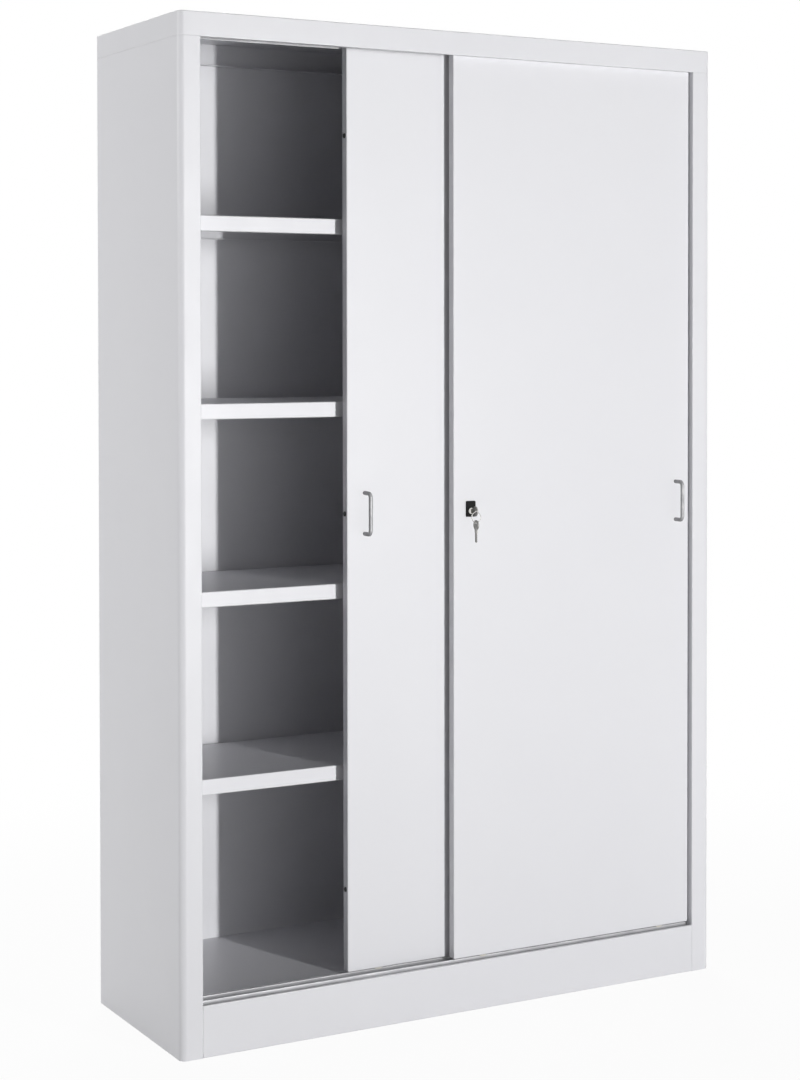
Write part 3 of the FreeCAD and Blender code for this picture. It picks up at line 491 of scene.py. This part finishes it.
@dataclass
class LockFace:
    """Turned bezel round the lock's plug, on the cover plate."""

    rim_radius: float = 8.6 * MM
    bore_radius: float = 6.15 * MM
    height: float = 0.9 * MM
    sides: int = 48

    def build(self) -> bpy.types.Object:
        """Turn the bezel: a low ring with a rounded rim and a bevel towards the plug.

        Returns:
            The bezel, on the plate's front face.
        """
        low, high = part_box("lock_plug")
        plate_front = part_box("lock_housing")[0].y
        centre = np.array([[(low.x + high.x) / 2, plate_front, (low.z + high.z) / 2]])
        rim, bore, top = self.rim_radius, self.bore_radius, -self.height
        # Shares of the height and of the ring's width give the rounded rim and the bevel.
        profile = np.array([
            (0.0, rim),
            (0.45 * top, rim),
            (0.8 * top, bore + 0.88 * (rim - bore)),
            (top, bore + 0.62 * (rim - bore)),
            (top, bore + 0.35 * (rim - bore)),
            (0.55 * top, bore),
            (0.0, bore),
        ])
        return turned("lock_bezel", profile, centre, self.sides, closed_path=True)

    def dress(self, wardrobe: Wardrobe) -> None:
        """Build the bezel and set it on the right door."""
        wardrobe.finish_piece(self.build(), "right_door", Slot.LOCK_PLATE)


@dataclass
class BackRivets:
    """Blind rivets of the back: domed heads with the broken pin in the middle."""

    head_radius: float = 3.5 * MM
    head_height: float = 1.0 * MM
    shank_radius: float = 1.9 * MM
    pin_radius: float = 1.1 * MM
    pin_depth: float = 0.7 * MM
    hole_depth: float = 0.6 * MM
    dome_drop: float = 0.35 * MM
    sides: int = 24
    rows: int = 7

    def build(self) -> bpy.types.Object:
        """Turn the heads: a dome that drops into a pin hole, and the shank behind it.

        Returns:
            All the rivets, in the place of their node.
        """
        low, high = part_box("back_rivets")
        head = high.y
        flange = head - self.head_height
        rim, pin, shank = self.head_radius, self.pin_radius, self.shank_radius
        # Shares of the radii give the hole's flare and the dome.
        profile = np.array([
            (head - self.pin_depth, 0.0),
            (head - self.hole_depth, pin),
            (head, pin * 1.1),
            (head, rim * 0.5),
            (head - self.dome_drop, rim * 0.85),
            (flange, rim),
            (flange, shank),
            (low.y, shank),
            (low.y, 0.0),
        ])
        across = np.array([low.x, high.x]) + np.array([1, -1]) * rim
        upright = np.linspace(low.z + rim, high.z - rim, self.rows)
        x, z = np.meshgrid(across, upright, indexing="ij")
        centres = np.stack([x.ravel(), 0 * x.ravel(), z.ravel()], axis=-1)
        return turned("blind_rivets", profile, centres, self.sides)

    def dress(self, wardrobe: Wardrobe) -> None:
        """Build the rivets in place of their plain node.

        Args:
            wardrobe: Finishes of the cabinet.
        """
        rivets = self.build()
        wardrobe.finish_piece(rivets, "carcass", Slot.ZINC)
        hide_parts("back_rivets")


@dataclass(frozen=True)
class Lamp:
    """Soft box, placed by its direction from the cabinet's front."""

    name: str
    azimuth_deg: float
    elevation_deg: float
    distance: float
    width: float
    height: float
    level: float
    target: Point = (0.0, 0.0, 1.0)

    def build(self) -> None:
        """Hang the lamp so that a white surface facing it renders at its level.

        A lamp of power P at distance d gives P / (pi d^2), and a white surface shows that over pi.
        """
        turn, lift = math.radians(self.azimuth_deg), math.radians(self.elevation_deg)
        away = np.array([math.sin(turn) * math.cos(lift), -math.cos(turn) * math.cos(lift), math.sin(lift)])
        data = bpy.data.lights.new(self.name, "AREA")
        data.shape = "RECTANGLE"
        data.size = self.width
        data.size_y = self.height
        data.energy = self.level * math.pi ** 2 * self.distance ** 2
        lamp = bpy.data.objects.new(self.name, data)
        lamp.location = np.array(self.target) + away * self.distance
        lamp.rotation_euler = (math.pi / 2 - lift, 0, turn)
        bpy.context.scene.collection.objects.link(lamp)


@dataclass
class Studio:
    """White sweep, soft lamps and dim white surroundings."""

    floor_half: float = 40.0
    floor_drop: float = 0.2 * MM
    floor_colour: str = "DCDCDC"
    floor_glow: float = 0.95
    shadow_reach: tuple[float, float] = (0.7, 2.5)
    surround: float = 0.01
    lamps: tuple[Lamp, ...] = (
        Lamp("key_lamp", azimuth_deg=15.6, elevation_deg=0.0, distance=6.0, width=0.15, height=2.3,
             level=0.77, target=(*DOOR_EDGE, 1.15)),
        Lamp("fill_lamp", azimuth_deg=0.0, elevation_deg=0.0, distance=5.0, width=2.6, height=1.6,
             level=0.06, target=(*DOOR_EDGE, 1.2)),
        Lamp("side_lamp", azimuth_deg=-100.0, elevation_deg=14.0, distance=5.0, width=2.0, height=2.0,
             level=0.48),
        Lamp("back_lamp", azimuth_deg=160.0, elevation_deg=30.0, distance=6.0, width=3.0, height=3.0,
             level=0.75),
    )

    def build_floor(self) -> None:
        """Lay a floor that the camera sees almost white, with a faint shadow near the cabinet."""
        half = self.floor_half
        corners = np.array([(-half, -half), (half, -half), (half, half), (-half, half)])
        points = np.column_stack([corners, np.full(4, -self.floor_drop)])
        data = bpy.data.meshes.new("floor")
        data.from_pydata(points.tolist(), [], [(0, 1, 2, 3)])
        floor = bpy.data.objects.new("floor", data)
        bpy.context.scene.collection.objects.link(floor)
        material, tree = new_tree("white_paper_sweep")
        place = add_node(tree, "TexCoord").outputs["Object"]
        away = add_node(tree, "VectorMath", {0: place}, operation="LENGTH").outputs["Value"]
        near, far = self.shadow_reach
        level = add_node(tree, "MapRange", {"Value": away, "From Min": near, "From Max": far,
                                            "To Min": self.floor_glow, "To Max": 1.0},
                         interpolation_type="SMOOTHSTEP").outputs["Result"]
        share = add_node(tree, "Math", {0: self.seen_directly(tree), 1: level}, operation="MULTIPLY")
        paper = add_node(tree, "BsdfDiffuse", {"Color": linear(self.floor_colour)})
        glow = add_node(tree, "Emission", {"Color": WHITE, "Strength": 1.0})
        mixed = add_node(tree, "MixShader", {0: share.outputs["Value"], 1: paper.outputs["BSDF"],
                                             2: glow.outputs["Emission"]})
        close_tree(tree, mixed.outputs["Shader"])
        dress(floor, material)

    @staticmethod
    def seen_directly(tree: bpy.types.NodeTree) -> bpy.types.NodeSocket:
        """Tell rays that show the background, seen, mirrored or through glass, from light rays.

        Args:
            tree: Node tree that takes the test.

        Returns:
            A socket that is one for camera, glossy and transmission rays.
        """
        path = add_node(tree, "LightPath").outputs
        mirror = add_node(tree, "Math", {0: path["Is Camera Ray"], 1: path["Is Glossy Ray"]},
                          operation="MAXIMUM")
        return add_node(tree, "Math", {0: mirror.outputs["Value"], 1: path["Is Transmission Ray"]},
                        operation="MAXIMUM").outputs["Value"]

    def build_surroundings(self) -> None:
        """Show white all round and light the cabinet dimly from there."""
        world = bpy.data.worlds.new("white_studio")
        bpy.context.scene.world = world
        world.use_nodes = True
        tree = world.node_tree
        tree.nodes.clear()
        shown = add_node(tree, "Background", {"Color": WHITE, "Strength": 1.0})
        fill = add_node(tree, "Background", {"Color": WHITE, "Strength": self.surround})
        mixed = add_node(tree, "MixShader", {0: self.seen_directly(tree), 1: fill.outputs["Background"],
                                             2: shown.outputs["Background"]})
        add_node(tree, "OutputWorld", {"Surface": mixed.outputs["Shader"]})

    def build(self) -> None:
        """Set up the floor, the surroundings and the lamps."""
        self.build_floor()
        self.build_surroundings()
        for lamp in self.lamps:
            lamp.build()
        bpy.context.scene.view_settings.view_transform = "Standard"


@dataclass
class PhotoCamera:
    """Nearly level camera with a shifted lens, so that uprights stay parallel as in the photograph.

    Its lens, place and turn were fitted to the cabinet's edges in the photograph.
    """

    focal_px: float = 2220.72
    axis_px: tuple[float, float] = (520.0, 380.0)
    turn_deg: float = 30.7844
    tilt_deg: float = -1.1841
    location: Point = (-2.1571, -4.0572, 1.3526)
    sensor_mm: float = 36.0

    def build(self) -> None:
        """Set up the camera; the sensor's width lies along the image's long side."""
        data = bpy.data.cameras.new("photo_camera")
        data.sensor_width = self.sensor_mm
        data.lens = self.focal_px / IMAGE_HEIGHT * self.sensor_mm
        data.shift_x = (IMAGE_WIDTH / 2 - self.axis_px[0]) / IMAGE_HEIGHT
        data.shift_y = (self.axis_px[1] - IMAGE_HEIGHT / 2) / IMAGE_HEIGHT
        camera = bpy.data.objects.new("photo_camera", data)
        camera.location = self.location
        camera.rotation_euler = (math.radians(90 + self.tilt_deg), 0, -math.radians(self.turn_deg))
        bpy.context.scene.collection.objects.link(camera)
        bpy.context.scene.camera = camera


def main() -> None:
    """Dress the cabinet, build the finer pieces, and set up the studio and the camera."""
    logging.basicConfig(level=logging.INFO, format="%(name)s: %(message)s")
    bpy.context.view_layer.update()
    wardrobe = Wardrobe()
    wardrobe.build()
    wardrobe.dress_nodes()
    ThinFittings().dress()
    for part in (KeyRing(), LockFace(), BackRivets()):
        part.dress(wardrobe)
    Studio().build()
    PhotoCamera().build()


if __name__ == "__main__":
    main()
